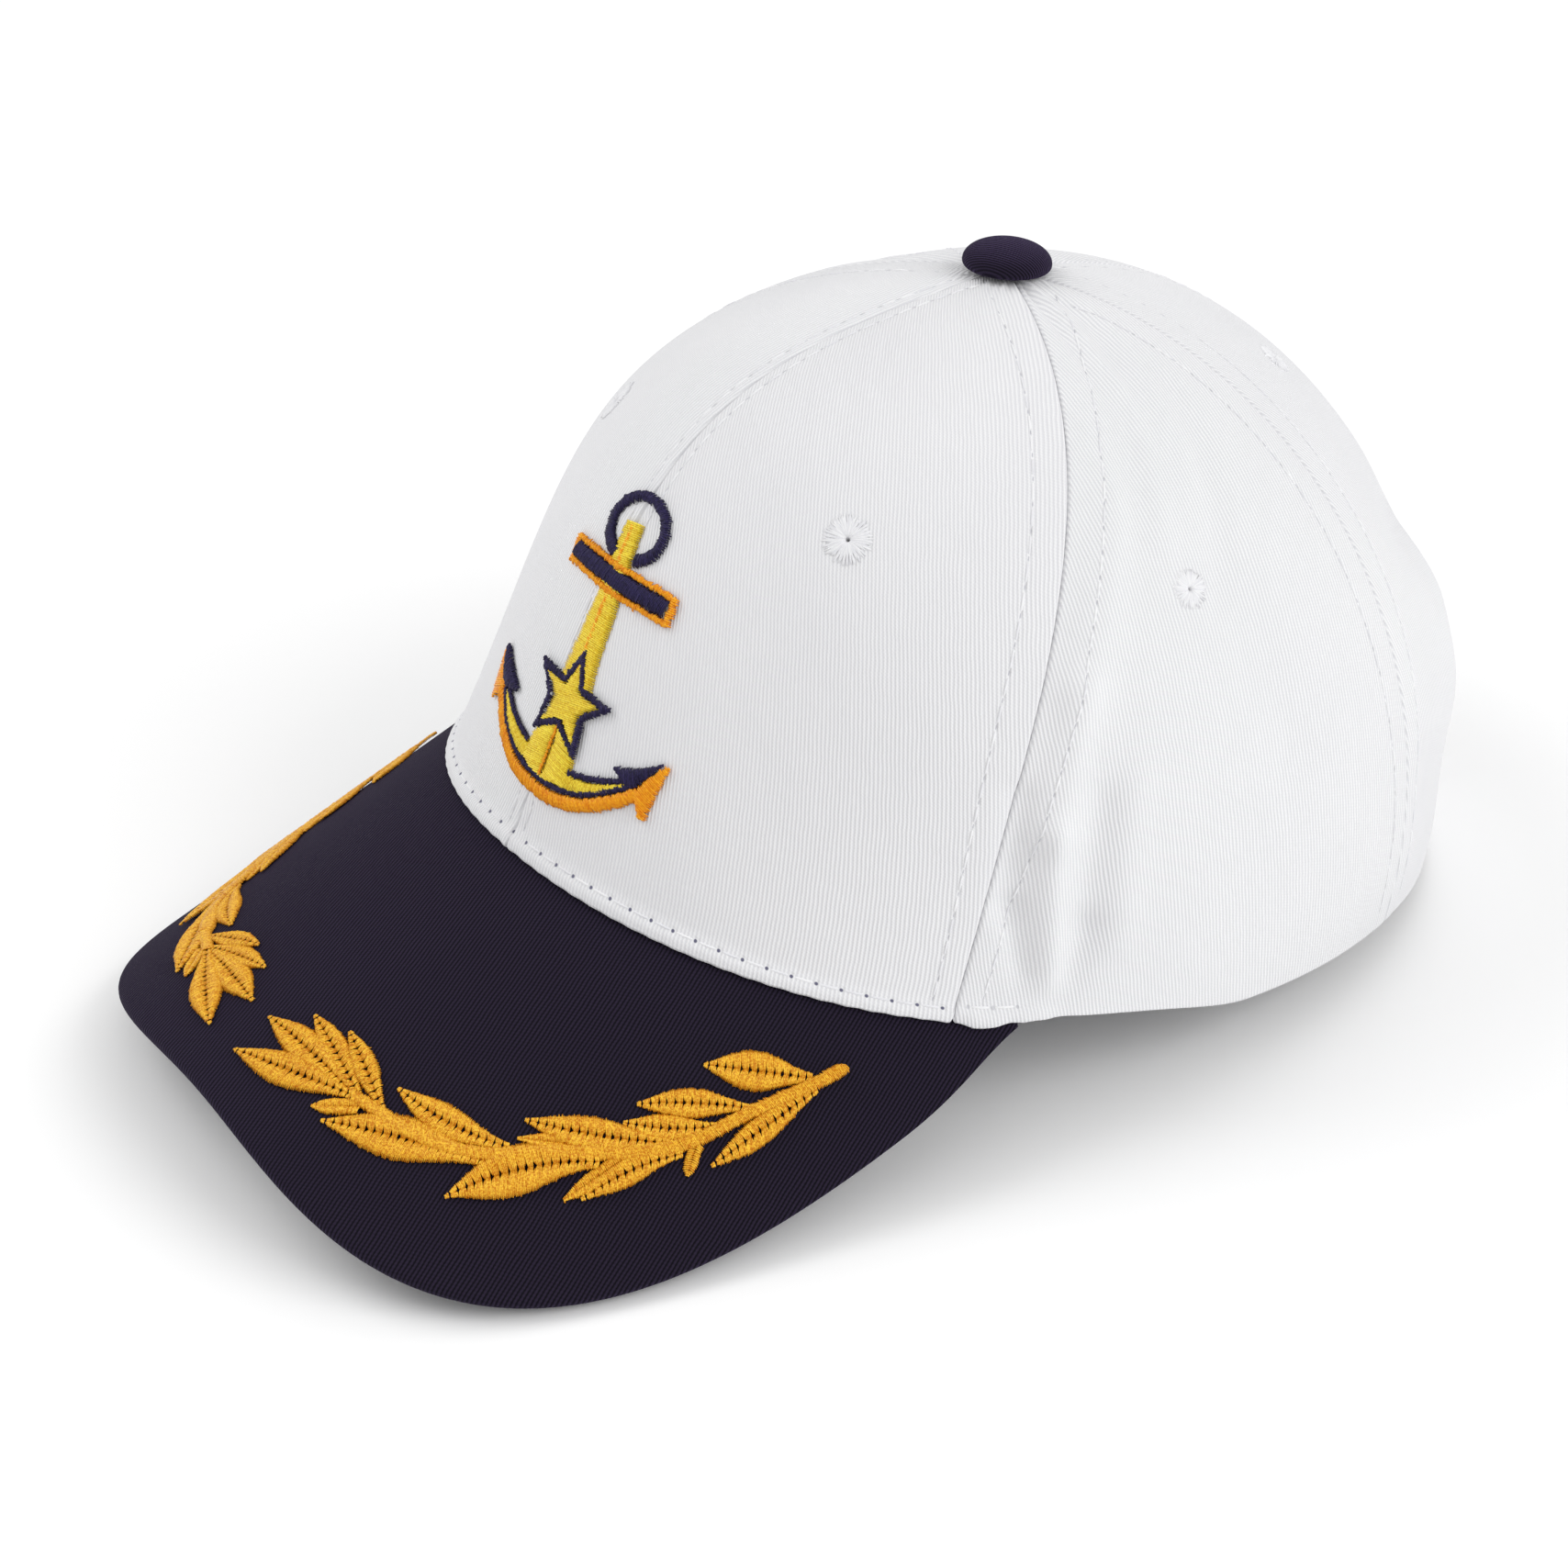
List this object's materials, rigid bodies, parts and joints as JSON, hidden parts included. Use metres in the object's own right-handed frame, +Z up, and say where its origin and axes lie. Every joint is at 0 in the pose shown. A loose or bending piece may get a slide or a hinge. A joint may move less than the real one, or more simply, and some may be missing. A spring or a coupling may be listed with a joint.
{
  "type": "captain hat",
  "caption": "Baseball-style captain's cap with a domed cloth crown, bent visor with laurel embroidery, an anchor on the front and an arched back with a strap.",
  "frame": {"origin": "on the resting surface, under the middle of the outline seen from above", "axes": "+X towards the wearer's left, +Y towards the back of the cap, +Z up; the visor points along -Y"},
  "size_m": [0.1736, 0.2624, 0.1252],
  "materials": {
    "white_twill": "matt cotton twill, white",
    "white_thread": "soft sewn thread, white",
    "navy_twill": "matt cotton twill, dark navy",
    "gold_thread": "shiny satin-stitched thread, gold",
    "anchor_thread": "shiny satin-stitched thread, yellow with orange and navy"
  },
  "bodies": {
    "root": {"front_panel_left": "white_twill", "front_panel_right": "white_twill", "side_panel_left": "white_twill", "side_panel_right": "white_twill", "back_panel_left": "white_twill", "back_panel_right": "white_twill", "strap_left": "white_twill", "strap_right": "white_twill", "eyelet_front_left": "white_thread", "eyelet_front_right": "white_thread", "eyelet_side_left": "white_thread", "eyelet_side_right": "white_thread", "eyelet_back_left": "white_thread", "eyelet_back_right": "white_thread", "visor": "navy_twill", "top_button": "navy_twill", "anchor_embroidery": "anchor_thread", "laurel_left": "gold_thread", "laurel_right": "gold_thread"}
  },
  "joints": []
}
